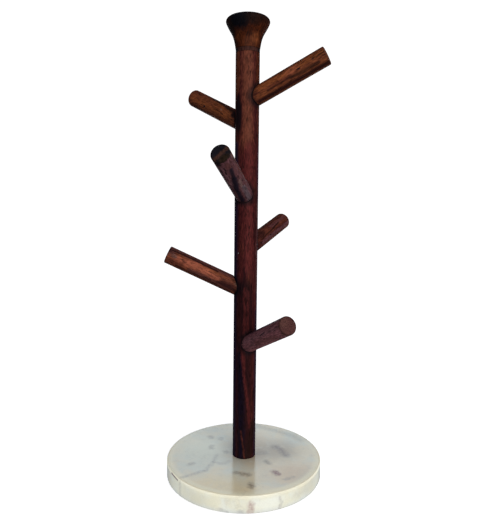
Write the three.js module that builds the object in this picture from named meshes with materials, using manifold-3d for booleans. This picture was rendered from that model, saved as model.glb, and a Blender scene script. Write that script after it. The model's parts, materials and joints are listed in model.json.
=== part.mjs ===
// A mug tree: a marble disc, a turned wooden post with six sloping pegs, and a flared finial.
//
// Millimetres, +Z up. The origin is on the table, under the centre of the base. The front of the object
// faces -Y. Each piece is one closed solid: the pegs have tenons glued into blind bores in the post, a
// loose dowel pins the finial and its dark collar to the post, and one bolt from below clamps the post
// to the marble.

import * as THREE from "three";
import * as BufferGeometryUtils from "three/addons/utils/BufferGeometryUtils.js";
import Module from "manifold-3d";

const wasm = await Module();
wasm.setup();

// ---------------------------------------------------------------------------------------------------
// Driving dimensions
// ---------------------------------------------------------------------------------------------------

const GLUE_GAP = 0.3; // clearance round a tenon, dowel or insert
const SEAT_GAP = 0.1; // glue or contact line between two flat faces

// Marble base
const BASE_RADIUS = 75;
const BASE_THICKNESS = 15.9;
const BASE_TOP_EASE = 1.2; // rounded upper edge
const BASE_FOOT_EASE = 0.9; // rounded lower edge
const BOLT_HOLE_RADIUS = 3.5;
const COUNTERBORE_RADIUS = 10.5;
const COUNTERBORE_DEPTH = 8.5;

// Rubber bumpers under the base
const PAD_COUNT = 4;
const PAD_RADIUS = 6.5;
const PAD_THICKNESS = 1.5;
const PAD_EASE = 0.4;
const PAD_CIRCLE_RADIUS = 58;

// Post, collar and finial
const POST_RADIUS = 11.13;
const COLLAR_MIDDLE = 399.7; // height above the marble's underside
const COLLAR_HEIGHT = 3.6;
const FINIAL_CROWN = 1.2; // rise of the gently domed top
const FINIAL_RIM_ROUND = { across: 4.2, up: 3.6 }; // the rim is a quarter ellipse

// Outline of the finial's flare: height above its foot and radius. It starts a hair wider than the post,
// opens into a nearly straight cone, and turns upright at the widest ring, where the rim begins.
const FINIAL_FLARE = [
  { height: 0, radius: 11.3 },
  { height: 3, radius: 11.8 },
  { height: 7.6, radius: 12.7 },
  { height: 12.6, radius: 14.5 },
  { height: 18.1, radius: 17.7 },
  { height: 21.6, radius: 19.5 },
  { height: 23.6, radius: 20.2 },
];

// Loose dowel between post and finial
const DOWEL_RADIUS = 4;
const DOWEL_REACH = 15; // how far it goes into each piece
const DOWEL_CHAMFER = 0.8;

// Pegs
const PEG_RADIUS = 8.4;
const PEG_LENGTH = 81.5; // from the post's axis to the tip
const PEG_TIP_EASE = 0.9;
const PEG_TILT = 24.9; // degrees above the horizontal
const PEG_4_TILT = 18.4; // the fourth peg slopes less than the others
const TENON_RADIUS = 4.8;
const TENON_END = 2.5; // from the post's axis to the end of the tenon

// Each peg: its direction seen from above, in degrees from the front towards +X, and the height of its
// axis above the marble's underside, where it crosses the post's axis. Pegs count from the top down.
const PEGS = [
  { name: "peg_1", azimuth: 68.0, height: 355.1, tilt: PEG_TILT },
  { name: "peg_2", azimuth: -133.5, height: 334.1, tilt: PEG_TILT },
  { name: "peg_3", azimuth: -16.7, height: 266.3, tilt: PEG_TILT },
  { name: "peg_4", azimuth: 149.9, height: 219.0, tilt: PEG_4_TILT },
  { name: "peg_5", azimuth: -88.2, height: 179.2, tilt: PEG_TILT },
  { name: "peg_6", azimuth: 29.0, height: 125.8, tilt: PEG_TILT },
];

// M6 hardware
const BOLT_RADIUS = 3;
const BOLT_LENGTH = 25; // under the head
const BOLT_HEAD_SIDES = 6;
const BOLT_HEAD_ACROSS_FLATS = 10;
const BOLT_HEAD_HEIGHT = 4;
const BOLT_END_CHAMFER = 0.7;
const WASHER_HOLE_RADIUS = 3.3;
const FLAT_WASHER = { radius: 9, thickness: 1.6 };
const SPRING_WASHER = { radius: 5.9, thickness: 1.6, slot: 1.0, slotSlant: 30 };
const INSERT_LENGTH = 13;
const INSERT_BODY_RADIUS = 4.1;
const INSERT_RIDGE_RADIUS = 4.7;
const INSERT_RIDGES = 4;
const INSERT_RIDGE_SHARES = { foot: 0.2, crestStart: 0.45, crestEnd: 0.55, end: 0.8 }; // of one ridge's pitch
const INSERT_HOLE_RADIUS = 3.15;
const PILOT_DEPTH = 22; // how far the bolt's hole goes into the post

// Facets round each solid
const BASE_SEGMENTS = 96;
const POST_SEGMENTS = 48;
const FINIAL_SEGMENTS = 48;
const PEG_SEGMENTS = 36;
const SMALL_SEGMENTS = 24;

// Steps along the curved parts of the outlines
const EDGE_STEPS = 3;
const FLARE_STEPS = 14;
const RIM_STEPS = 6;
const CROWN_STEPS = 4;

// Corners closer together than this are one corner
const MERGE_DISTANCE = 1e-5;

// ---------------------------------------------------------------------------------------------------
// Heights worked out from the dimensions above
// ---------------------------------------------------------------------------------------------------

const baseBottom = PAD_THICKNESS + SEAT_GAP;
const baseTop = baseBottom + BASE_THICKNESS;
const postBottom = baseTop + SEAT_GAP;
const collarBottom = baseBottom + COLLAR_MIDDLE - COLLAR_HEIGHT / 2;
const collarTop = collarBottom + COLLAR_HEIGHT;
const postTop = collarBottom - SEAT_GAP;
const finialBottom = collarTop + SEAT_GAP;
const finialWidest = FINIAL_FLARE.at(-1);
const finialRim = finialBottom + finialWidest.height;
const finialShoulder = finialRim + FINIAL_RIM_ROUND.up;

// ---------------------------------------------------------------------------------------------------
// Materials
// ---------------------------------------------------------------------------------------------------

const marble = { color: 0xd9d8cf, roughness: 0.25, metalness: 0 };
const wood = { color: 0x4a2018, roughness: 0.4, metalness: 0 };
const darkWood = { color: 0x241a18, roughness: 0.5, metalness: 0 };
const paleWood = { color: 0xc9a877, roughness: 0.7, metalness: 0 };
const rubber = { color: 0x2b2b2b, roughness: 0.8, metalness: 0 };
const zincSteel = { color: 0xb4b8bb, roughness: 0.35, metalness: 1 };
const brass = { color: 0xc8a24a, roughness: 0.35, metalness: 1 };

// ---------------------------------------------------------------------------------------------------
// Shape helpers
// ---------------------------------------------------------------------------------------------------

/** A profile point: distance from the axis and height along it. */
const at = (radius, height) => new THREE.Vector2(radius, height);

/** Turns a profile about +Z. It runs up the outside, and starts and ends on the axis or closes on itself. */
function turned(profile, segments) {
  return new THREE.LatheGeometry(profile, segments).rotateX(Math.PI / 2);
}

/** Points of a quarter ellipse from angle `from` to `to` in degrees, about a centre, ends included. */
function arc(centre, across, up, from, to, steps) {
  return Array.from({ length: steps + 1 }, (_, step) => {
    const angle = THREE.MathUtils.degToRad(from + ((to - from) * step) / steps);
    return at(centre.x + across * Math.cos(angle), centre.y + up * Math.sin(angle));
  });
}

/** A solid cylinder about +Z between two heights. */
function rod(radius, low, high, segments) {
  return turned([at(0, low), at(radius, low), at(radius, high), at(0, high)], segments);
}

/** A closed three.js geometry as a manifold solid. */
function toSolid(geometry) {
  const bare = geometry.clone();
  bare.deleteAttribute("normal");
  bare.deleteAttribute("uv");
  const merged = BufferGeometryUtils.mergeVertices(bare, MERGE_DISTANCE);
  const index = merged.index.array;
  const corners = [];
  for (let i = 0; i < index.length; i += 3) {
    const [a, b, c] = [index[i], index[i + 1], index[i + 2]];
    const flat = a === b || b === c || c === a;
    if (!flat) corners.push(a, b, c);
  }
  return new wasm.Manifold(
    new wasm.Mesh({
      numProp: 3,
      vertProperties: new Float32Array(merged.attributes.position.array),
      triVerts: new Uint32Array(corners),
    }),
  );
}

/** A manifold solid as a three.js geometry. */
function toGeometry(solid) {
  const mesh = solid.getMesh();
  const geometry = new THREE.BufferGeometry();
  geometry.setAttribute("position", new THREE.BufferAttribute(new Float32Array(mesh.vertProperties), 3));
  geometry.setIndex(new THREE.BufferAttribute(new Uint32Array(mesh.triVerts), 1));
  geometry.computeVertexNormals();
  return geometry;
}

/** A named mesh with a standard material. */
function piece(name, geometry, finish) {
  const mesh = new THREE.Mesh(geometry, new THREE.MeshStandardMaterial(finish));
  mesh.name = name;
  return mesh;
}

/** Tilts and turns a geometry made along +Z so that it points along a peg's axis, from the post's axis. */
function alongPeg(geometry, peg) {
  geometry.rotateX(THREE.MathUtils.degToRad(90 - peg.tilt));
  geometry.rotateZ(THREE.MathUtils.degToRad(peg.azimuth));
  geometry.translate(0, 0, baseBottom + peg.height);
  return geometry;
}

// ---------------------------------------------------------------------------------------------------
// Pieces
// ---------------------------------------------------------------------------------------------------

/** Marble disc with eased edges, a bolt hole, and a counterbore below that hides the bolt's head. */
function baseDisc() {
  const ceiling = baseBottom + COUNTERBORE_DEPTH;
  const lowEdge = at(BASE_RADIUS - BASE_FOOT_EASE, baseBottom + BASE_FOOT_EASE);
  const topEdge = at(BASE_RADIUS - BASE_TOP_EASE, baseTop - BASE_TOP_EASE);
  const profile = [
    at(BOLT_HOLE_RADIUS, ceiling),
    at(COUNTERBORE_RADIUS, ceiling),
    at(COUNTERBORE_RADIUS, baseBottom),
    ...arc(lowEdge, BASE_FOOT_EASE, BASE_FOOT_EASE, -90, 0, EDGE_STEPS),
    ...arc(topEdge, BASE_TOP_EASE, BASE_TOP_EASE, 0, 90, EDGE_STEPS),
    at(BOLT_HOLE_RADIUS, baseTop),
    at(BOLT_HOLE_RADIUS, ceiling),
  ];
  return piece("base_disc", turned(profile, BASE_SEGMENTS), marble);
}

/** Rubber bumper, one of a ring of equal ones. */
function footPad(number) {
  const edge = at(PAD_RADIUS - PAD_EASE, PAD_EASE);
  const profile = [
    at(0, 0),
    ...arc(edge, PAD_EASE, PAD_EASE, -90, 0, EDGE_STEPS),
    at(PAD_RADIUS, PAD_THICKNESS),
    at(0, PAD_THICKNESS),
  ];
  const pad = piece(`foot_pad_${number}`, turned(profile, SMALL_SEGMENTS), rubber);
  const angle = ((number - 0.5) / PAD_COUNT) * 2 * Math.PI;
  pad.position.set(PAD_CIRCLE_RADIUS * Math.cos(angle), PAD_CIRCLE_RADIUS * Math.sin(angle), 0);
  return pad;
}

/** Post with a blind bore for each tenon, one for the dowel above, and one for the insert and bolt below. */
function post() {
  let solid = toSolid(rod(POST_RADIUS, postBottom, postTop, POST_SEGMENTS));
  const cuts = PEGS.map((peg) =>
    alongPeg(rod(TENON_RADIUS + GLUE_GAP, TENON_END - GLUE_GAP, PEG_LENGTH, SMALL_SEGMENTS), peg),
  );
  const beyond = 1; // cutters run this far past the faces that they open
  const dowelFloor = postTop - DOWEL_REACH - GLUE_GAP;
  cuts.push(rod(DOWEL_RADIUS + GLUE_GAP, dowelFloor, postTop + beyond, SMALL_SEGMENTS));
  const insertRoof = postBottom + INSERT_LENGTH + 2 * GLUE_GAP;
  cuts.push(rod(INSERT_RIDGE_RADIUS + GLUE_GAP, postBottom - beyond, insertRoof, SMALL_SEGMENTS));
  cuts.push(rod(BOLT_RADIUS + GLUE_GAP, postBottom, postBottom + PILOT_DEPTH, SMALL_SEGMENTS));
  for (const cutter of cuts) solid = solid.subtract(toSolid(cutter));
  return piece("post", toGeometry(solid), wood);
}

/** Peg with an eased tip and a shoulder coped to the round post, in one with its tenon. */
function peg(place) {
  const tip = at(PEG_RADIUS - PEG_TIP_EASE, PEG_LENGTH - PEG_TIP_EASE);
  const tipEdge = arc(tip, PEG_TIP_EASE, PEG_TIP_EASE, 0, 90, EDGE_STEPS);
  const profile = [at(0, 0), at(PEG_RADIUS, 0), ...tipEdge, at(0, PEG_LENGTH)];
  const body = toSolid(alongPeg(turned(profile, PEG_SEGMENTS), place));
  const clearance = toSolid(rod(POST_RADIUS + GLUE_GAP, postBottom, postTop, POST_SEGMENTS));
  const tenonTop = PEG_LENGTH / 2;
  const tenon = toSolid(alongPeg(rod(TENON_RADIUS, TENON_END, tenonTop, SMALL_SEGMENTS), place));
  return piece(place.name, toGeometry(body.subtract(clearance).add(tenon)), wood);
}

/** Thin ring between post and finial, flush with the post. */
function jointCollar() {
  const hole = DOWEL_RADIUS + GLUE_GAP;
  const profile = [
    at(hole, collarBottom),
    at(POST_RADIUS, collarBottom),
    at(POST_RADIUS, collarTop),
    at(hole, collarTop),
    at(hole, collarBottom),
  ];
  return piece("joint_collar", turned(profile, POST_SEGMENTS), darkWood);
}

/** Flared knob with a rounded rim, a gently domed top and a blind bore for the dowel. */
function finial() {
  const hole = DOWEL_RADIUS + GLUE_GAP;
  const roof = finialBottom + DOWEL_REACH + GLUE_GAP;
  const outline = FINIAL_FLARE.map(({ height, radius }) => at(radius, finialBottom + height));
  const flare = new THREE.SplineCurve(outline).getPoints(FLARE_STEPS);
  const { across, up } = FINIAL_RIM_ROUND;
  const crownStart = finialWidest.radius - across;
  const rim = arc(at(crownStart, finialRim), across, up, 0, 90, RIM_STEPS).slice(1);
  const crown = Array.from({ length: CROWN_STEPS }, (_, step) => {
    const radius = crownStart * (1 - (step + 1) / CROWN_STEPS);
    const rise = FINIAL_CROWN * (1 - (radius / crownStart) ** 2);
    return at(radius, finialShoulder + rise);
  });
  const profile = [at(0, roof), at(hole, roof), at(hole, finialBottom), ...flare, ...rim, ...crown];
  return piece("finial", turned(profile, FINIAL_SEGMENTS), wood);
}

/** Loose dowel with chamfered ends, hidden in the post, collar and finial. */
function finialDowel() {
  const low = postTop - DOWEL_REACH;
  const high = finialBottom + DOWEL_REACH;
  const profile = [
    at(0, low),
    at(DOWEL_RADIUS - DOWEL_CHAMFER, low),
    at(DOWEL_RADIUS, low + DOWEL_CHAMFER),
    at(DOWEL_RADIUS, high - DOWEL_CHAMFER),
    at(DOWEL_RADIUS - DOWEL_CHAMFER, high),
    at(0, high),
  ];
  return piece("finial_dowel", turned(profile, SMALL_SEGMENTS), paleWood);
}

// The bolt's stack hangs from the counterbore's ceiling: flat washer, spring washer, then the head.
const flatWasherTop = baseBottom + COUNTERBORE_DEPTH - SEAT_GAP;
const springWasherTop = flatWasherTop - FLAT_WASHER.thickness - SEAT_GAP;
const boltHeadTop = springWasherTop - SPRING_WASHER.thickness - SEAT_GAP;

/** Ring between two heights. */
function ring(outer, inner, low, high) {
  const profile = [at(inner, low), at(outer, low), at(outer, high), at(inner, high), at(inner, low)];
  return turned(profile, SMALL_SEGMENTS);
}

/** Flat washer that spreads the bolt's load on the marble. */
function flatWasher() {
  const low = flatWasherTop - FLAT_WASHER.thickness;
  return piece("flat_washer", ring(FLAT_WASHER.radius, WASHER_HOLE_RADIUS, low, flatWasherTop), zincSteel);
}

/** Spring washer, a ring with a slanted slot through one side. */
function springWasher() {
  const { radius, thickness, slot, slotSlant } = SPRING_WASHER;
  const low = springWasherTop - thickness;
  const body = toSolid(ring(radius, WASHER_HOLE_RADIUS, low, springWasherTop));
  const cutter = new THREE.BoxGeometry(radius, slot, 4 * thickness);
  cutter.rotateX(THREE.MathUtils.degToRad(slotSlant));
  cutter.translate(radius / 2 + slot, 0, low + thickness / 2);
  return piece("spring_washer", toGeometry(body.subtract(toSolid(cutter))), zincSteel);
}

/** M6 hexagon bolt. Its thread is drawn as a plain shank at the thread's outer radius. */
function baseBolt() {
  const headBottom = boltHeadTop - BOLT_HEAD_HEIGHT;
  const tip = boltHeadTop + BOLT_LENGTH;
  const overlap = 0.5;
  const cornerRadius = BOLT_HEAD_ACROSS_FLATS / 2 / Math.cos(Math.PI / BOLT_HEAD_SIDES);
  const head = toSolid(rod(cornerRadius, headBottom, boltHeadTop, BOLT_HEAD_SIDES));
  const shank = toSolid(
    turned(
      [
        at(0, boltHeadTop - overlap),
        at(BOLT_RADIUS, boltHeadTop - overlap),
        at(BOLT_RADIUS, tip - BOLT_END_CHAMFER),
        at(BOLT_RADIUS - BOLT_END_CHAMFER, tip),
        at(0, tip),
      ],
      SMALL_SEGMENTS,
    ),
  );
  return piece("base_bolt", toGeometry(head.add(shank)), zincSteel);
}

/** Brass insert with coarse outer ridges that bite into the post. */
function threadedInsert() {
  const low = postBottom + GLUE_GAP;
  const pitch = INSERT_LENGTH / INSERT_RIDGES;
  const { foot, crestStart, crestEnd, end } = INSERT_RIDGE_SHARES;
  const ridges = Array.from({ length: INSERT_RIDGES }, (_, ridge) => {
    const start = low + ridge * pitch;
    return [
      at(INSERT_BODY_RADIUS, start + foot * pitch),
      at(INSERT_RIDGE_RADIUS, start + crestStart * pitch),
      at(INSERT_RIDGE_RADIUS, start + crestEnd * pitch),
      at(INSERT_BODY_RADIUS, start + end * pitch),
    ];
  }).flat();
  const profile = [
    at(INSERT_HOLE_RADIUS, low),
    at(INSERT_BODY_RADIUS, low),
    ...ridges,
    at(INSERT_BODY_RADIUS, low + INSERT_LENGTH),
    at(INSERT_HOLE_RADIUS, low + INSERT_LENGTH),
    at(INSERT_HOLE_RADIUS, low),
  ];
  return piece("threaded_insert", turned(profile, SMALL_SEGMENTS), brass);
}

// ---------------------------------------------------------------------------------------------------
// Assembly
// ---------------------------------------------------------------------------------------------------

const mugTree = new THREE.Group();
mugTree.add(baseDisc(), post(), jointCollar(), finial(), finialDowel());
for (const place of PEGS) mugTree.add(peg(place));
mugTree.add(flatWasher(), springWasher(), baseBolt(), threadedInsert());
for (let number = 1; number <= PAD_COUNT; number += 1) mugTree.add(footPad(number));

export default mugTree;
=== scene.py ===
"""Looks for a mug tree: a marble base, a turned wooden post with six sloping pegs, and a flared finial.

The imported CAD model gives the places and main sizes. This script puts finer meshes in the place of its
visible solids, gives every piece a procedural material, and sets a pale studio. Lengths are in millimetres
unless a comment says otherwise, and mm() turns them into Blender's metres. A piece's own axis is its local
Z, which is also the direction of its grain.
"""

import json
import math

import bpy
from mathutils import Matrix, Vector, noise


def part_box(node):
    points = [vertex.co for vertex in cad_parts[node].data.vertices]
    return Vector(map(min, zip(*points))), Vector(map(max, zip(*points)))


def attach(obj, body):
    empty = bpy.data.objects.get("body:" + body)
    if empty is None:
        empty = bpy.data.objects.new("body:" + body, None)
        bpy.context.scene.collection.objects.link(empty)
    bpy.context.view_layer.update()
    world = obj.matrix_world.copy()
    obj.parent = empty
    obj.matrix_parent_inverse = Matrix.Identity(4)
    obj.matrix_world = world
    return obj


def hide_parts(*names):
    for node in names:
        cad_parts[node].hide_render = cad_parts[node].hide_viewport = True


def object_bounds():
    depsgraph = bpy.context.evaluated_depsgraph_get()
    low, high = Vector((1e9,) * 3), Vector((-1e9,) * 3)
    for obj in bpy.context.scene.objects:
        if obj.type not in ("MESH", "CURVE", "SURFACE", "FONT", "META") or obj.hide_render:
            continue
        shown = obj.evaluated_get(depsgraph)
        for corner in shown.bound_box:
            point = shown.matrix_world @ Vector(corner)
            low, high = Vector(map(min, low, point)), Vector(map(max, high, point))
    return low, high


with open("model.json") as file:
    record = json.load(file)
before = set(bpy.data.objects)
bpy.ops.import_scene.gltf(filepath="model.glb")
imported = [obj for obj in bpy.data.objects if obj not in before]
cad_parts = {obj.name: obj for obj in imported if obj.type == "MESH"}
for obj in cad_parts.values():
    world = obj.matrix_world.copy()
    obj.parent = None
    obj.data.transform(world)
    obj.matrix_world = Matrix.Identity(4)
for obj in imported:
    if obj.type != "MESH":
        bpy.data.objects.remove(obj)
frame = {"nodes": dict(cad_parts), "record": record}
CAD_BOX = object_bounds()
BODY = "root"
MM_PER_METRE = 1000.0


def mm(length):
    """Millimetres as metres."""
    return length / MM_PER_METRE


def box_mm(node):
    """A CAD node's lowest and highest corners, in millimetres."""
    low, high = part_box(node)
    return low * MM_PER_METRE, high * MM_PER_METRE


def radius_mm(node):
    """Radius of a round upright CAD node, in millimetres."""
    low, high = box_mm(node)
    return (high.x - low.x) / 2


# ---- Sizes in millimetres: from the CAD boxes, and of what they don't show ----

POST_RADIUS = radius_mm("post")
BASE_RADIUS = radius_mm("base_disc")
BASE_TOP = box_mm("base_disc")[1].z

BASE_TOP_EASE = 1.2
BASE_FOOT_EASE = 0.9
BOLT_HOLE_RADIUS = 3.5
COUNTERBORE_RADIUS = 10.5
COUNTERBORE_DEPTH = 8.5
COUNTERBORE_CHAMFER = 0.4

GLUE_GAP = 0.3
DOWEL_BORE_RADIUS = 4.3
DOWEL_BORE_DEPTH = 15.3
INSERT_BORE_RADIUS = 5.0
INSERT_BORE_DEPTH = 13.6
PILOT_RADIUS = 3.3
PILOT_DEPTH = 22.0
POST_EDGE_EASE = 0.25

PEG_RADIUS = 8.4
PEG_LENGTH = 81.5  # from the post's axis
PEG_TIP_EASE = 0.9
PEG_SHOULDER_EASE = 0.25
PEG_FACE_RINGS = (0.93, 0.7, 0.35)  # of the flat end's radius
TENON_RADIUS = 4.8
TENON_CHAMFER = 0.6
TENON_START = 2.5  # from the post's axis
PEG_NAMES = [f"peg_{number}" for number in range(1, 7)]

FINIAL_RIM_ACROSS = 4.2
FINIAL_RIM_UP = 3.6
FINIAL_RIM_TURN = 84  # degrees, where the rim blends into the crown
# Height above the finial's foot and radius: a slow flare, a nearly straight cone, an upright widest ring.
FINIAL_FLARE = [(0, 11.3), (3, 11.8), (7.6, 12.7), (12.6, 14.5), (18.1, 17.7), (21.6, 19.5), (23.6, 20.2)]

PAD_EDGE_EASE = 0.5
PAD_TAPER = 0.3
PAD_DIMPLE = 0.15
PAD_DIMPLE_SHARES = (0.35, 0.55)  # of the pad's radius: to the edge of the dimple's roof, and to its mouth
PAD_DIMPLE_EDGE = 0.12  # how high the roof's edge is

RIPPLE_DEPTH = 0.06  # of the tool marks left on turned wood
RIPPLE_ROUND = 14  # size of a mark round the piece
RIPPLE_ALONG = 9  # and along it
POST_RIPPLE_SEED = 3
COLLAR_RIPPLE_SEED = 5
FINIAL_RIPPLE_SEED = 7
# The boards that the wooden pieces are cut from, which are the seeds of their grain
POST_BOARD = 1
FINIAL_BOARD = 2
COLLAR_BOARD = 3
FIRST_PEG_BOARD = 4  # then one more for each peg, which is also the seed of its ripple

# Steps round each kind of turned piece, and along the long ones
BASE_SEGMENTS = 256
TURNED_SEGMENTS = 128
PEG_SEGMENTS = 96
PAD_SEGMENTS = 64
BORE_SEGMENTS = 48
POST_STEPS = 150
PEG_STEPS = 48


# ---- Meshes ----

SHARP_ANGLE = math.radians(35)


def new_object(name, verts, faces, placing=Matrix()):
    """A smooth-shaded mesh object from points in millimetres of its own frame, put where placing says. Its
    place is in its mesh, as a CAD node's is. Edges steeper than SHARP_ANGLE stay crisp."""
    mesh = bpy.data.meshes.new(name)
    mesh.from_pydata([placing @ (Vector(v) / MM_PER_METRE) for v in verts], [], faces)
    mesh.validate()
    mesh.shade_smooth()
    mesh.set_sharp_from_angle(angle=SHARP_ANGLE)
    obj = bpy.data.objects.new(name, mesh)
    bpy.context.scene.collection.objects.link(obj)
    return obj


def around(segments):
    """Angles of equal steps round a full turn."""
    return [2.0 * math.pi * step / segments for step in range(segments)]


def arc(centre, across, up, start, end, steps):
    """Points (radius, height) of an ellipse's arc between two angles in degrees, both ends included."""
    angles = [math.radians(start + (end - start) * step / steps) for step in range(steps + 1)]
    return [(centre[0] + across * math.cos(a), centre[1] + up * math.sin(a)) for a in angles]


def low_corner(radius, height, ease, steps):
    """A quarter round at the lower outer edge of a turned shape, from its foot outwards."""
    return arc((radius - ease, height + ease), ease, ease, -90, 0, steps)


def top_corner(radius, height, ease, steps):
    """A quarter round at the upper outer edge of a turned shape, from its side inwards."""
    return arc((radius - ease, height - ease), ease, ease, 0, 90, steps)


def straight(start, end, steps):
    """Points between start and end, both left out."""
    shares = [step / steps for step in range(1, steps)]
    return [(start[0] + (end[0] - start[0]) * s, start[1] + (end[1] - start[1]) * s) for s in shares]


def between(before, start, end, after, share):
    """One coordinate of a Catmull-Rom curve, this share of the way from start to end."""
    slope = end - before
    bend = 2 * before - 5 * start + 4 * end - after
    twist = 3 * start - before - 3 * end + after
    return 0.5 * (2 * start + slope * share + bend * share * share + twist * share ** 3)


def smooth_curve(points, steps):
    """A Catmull-Rom curve through the points, with a number of steps between neighbours."""
    ends = [points[0]] + list(points) + [points[-1]]
    curve = [points[0]]
    for four in zip(ends, ends[1:], ends[2:], ends[3:]):
        for step in range(1, steps + 1):
            curve.append(tuple(between(*coordinates, step / steps) for coordinates in zip(*four)))
    return curve


def skin(rings, closed):
    """Points and faces of a surface through rings. A ring of one point is a tip. Rings run up the outside."""
    verts = [point for ring in rings for point in ring]
    starts = [0]
    for ring in rings:
        starts.append(starts[-1] + len(ring))
    pairs = list(zip(range(len(rings)), range(1, len(rings))))
    if closed:
        pairs.append((len(rings) - 1, 0))
    faces = []
    for low, high in pairs:
        count = max(len(rings[low]), len(rings[high]))
        for i in range(count):
            j = (i + 1) % count
            corners = []
            for ring, order in ((low, (i, j)), (high, (j, i))):
                corners += [starts[ring]] if len(rings[ring]) == 1 else [starts[ring] + k for k in order]
            faces.append(corners)
    return verts, faces


def revolve(profile, segments, seed=None):
    """Points and faces of a profile (radius, height) turned about Z. It starts and ends on Z, or closes. With
    a seed it is rippled."""
    closed = profile[0][0] > 0
    rings = []
    for radius, height in profile:
        angles = around(segments) if radius > 0 else [0.0]
        ring = [(radius * math.sin(a), -radius * math.cos(a), height) for a in angles]
        rings.append([ripple(point, seed) for point in ring] if seed else ring)
    return skin(rings, closed)


def ripple(point, seed):
    """Moves a point of turned wood slightly inwards, as a gouge and hand sanding leave it."""
    x, y, z = point
    where = Vector((x / RIPPLE_ROUND + seed, y / RIPPLE_ROUND, z / RIPPLE_ALONG))
    inwards = RIPPLE_DEPTH * (0.5 + 0.5 * noise.noise(where))
    radius = math.hypot(x, y)
    share = (radius - inwards) / radius if radius > RIPPLE_DEPTH else 1.0
    return (x * share, y * share, z)


# ---- Pieces ----


def finish_piece(obj, material, slot, *replaced):
    """Gives a fine piece its material and its body, and hides the CAD nodes it stands for. Its slot is not
    used.
    """
    obj.data.materials.clear()
    obj.data.materials.append(material)
    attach(obj, BODY)
    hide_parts(*replaced)
    return obj


def marble_base():
    """The marble disc: eased edges, a bolt hole, and a counterbore below with a ground chamfer."""
    foot = box_mm("base_disc")[0].z
    ceiling = foot + COUNTERBORE_DEPTH
    mouth = (COUNTERBORE_RADIUS + COUNTERBORE_CHAMFER, foot)
    hole_top = (BOLT_HOLE_RADIUS, BASE_TOP)
    low_edge = low_corner(BASE_RADIUS, foot, BASE_FOOT_EASE, steps=8)
    top_edge = top_corner(BASE_RADIUS, BASE_TOP, BASE_TOP_EASE, steps=12)
    profile = [(BOLT_HOLE_RADIUS, ceiling), (COUNTERBORE_RADIUS, ceiling)]
    profile += [(COUNTERBORE_RADIUS, foot + COUNTERBORE_CHAMFER), mouth]
    profile += straight(mouth, low_edge[0], steps=12)
    profile += low_edge + straight(low_edge[-1], top_edge[0], steps=6) + top_edge
    profile += straight(top_edge[-1], hole_top, steps=24) + [hole_top]
    verts, faces = revolve(profile, BASE_SEGMENTS)
    return new_object("marble_base", verts, faces)


def peg_frame(name):
    """Placing of a peg: origin on the post's axis, Z along the peg. Also its length in millimetres."""
    mount = next(m for m in frame["record"]["mounts"] if m["name"] == name + "_end")
    tip, along = Vector(mount["pos_m"]), Vector(mount["axis"]).normalized()
    length = tip.xy.length / along.xy.length
    sideways = Vector((0, 0, 1)).cross(along).normalized()
    upwards = along.cross(sideways)
    turn = Matrix((sideways, upwards, along)).transposed().to_4x4()
    return Matrix.Translation(tip - along * length) @ turn, length * MM_PER_METRE


def reach(x, y, axis, radius):
    """How far along a peg's Z a line at (x, y) leaves the round post, whose own axis is `axis`."""
    point = Vector((x, y, 0))
    flat = point - axis * point.dot(axis)
    step = Vector((0, 0, 1)) - axis * axis.z
    a, b, c = step.length_squared, 2 * flat.dot(step), flat.length_squared - radius ** 2
    return (-b + math.sqrt(b * b - 4 * a * c)) / (2 * a)


def round_peg(name, seed):
    """A peg in one with its tenon: a shoulder coped to the post, a faintly rippled rod and an eased tip."""
    placing, length = peg_frame(name)
    clearance = POST_RADIUS + GLUE_GAP
    axis = placing.to_3x3().inverted() @ Vector((0, 0, 1))
    angles = around(PEG_SEGMENTS)
    rod_end = length - PEG_TIP_EASE

    def ring(radius, height):
        """A flat ring about the peg's Z."""
        return [(radius * math.cos(a), radius * math.sin(a), height) for a in angles]

    def coped(radius, lift=0.0):
        """A ring that follows the post's round side."""
        points = [(radius * math.cos(a), radius * math.sin(a)) for a in angles]
        return [(x, y, reach(x, y, axis, clearance) + lift) for x, y in points]

    tenon = [[(0, 0, TENON_START)], ring(TENON_RADIUS - TENON_CHAMFER, TENON_START)]
    tenon += [ring(TENON_RADIUS, TENON_START + TENON_CHAMFER), coped(TENON_RADIUS)]
    tenon += [coped((TENON_RADIUS + PEG_RADIUS) / 2), coped(PEG_RADIUS - PEG_SHOULDER_EASE)]
    root = coped(PEG_RADIUS, PEG_SHOULDER_EASE)
    rod = []
    for step in range(PEG_STEPS + 1):
        share = step / PEG_STEPS
        rod.append([(x, y, z + (rod_end - z) * share) for x, y, z in root])
    edge = top_corner(PEG_RADIUS, length, PEG_TIP_EASE, steps=8)[1:]
    rod += [ring(radius, height) for radius, height in edge]
    rod += [ring((PEG_RADIUS - PEG_TIP_EASE) * share, length) for share in PEG_FACE_RINGS]
    rod.append([(0, 0, length)])
    rippled = [[ripple(point, seed) for point in points] for points in rod]
    verts, faces = skin(tenon + rippled, closed=False)
    return new_object(name + "_turned", verts, faces, placing)


def cut_away(obj, cutters):
    """Cuts other objects out of obj and deletes them."""
    for cutter in cutters:
        modifier = obj.modifiers.new("cut", "BOOLEAN")
        modifier.operation = "DIFFERENCE"
        modifier.solver = "EXACT"
        modifier.object = cutter
    graph = bpy.context.evaluated_depsgraph_get()
    cut = bpy.data.meshes.new_from_object(obj.evaluated_get(graph))
    obj.modifiers.clear()
    obj.data = cut
    cut.shade_smooth()
    cut.set_sharp_from_angle(angle=SHARP_ANGLE)
    for cutter in cutters:
        bpy.data.objects.remove(cutter)


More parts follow.
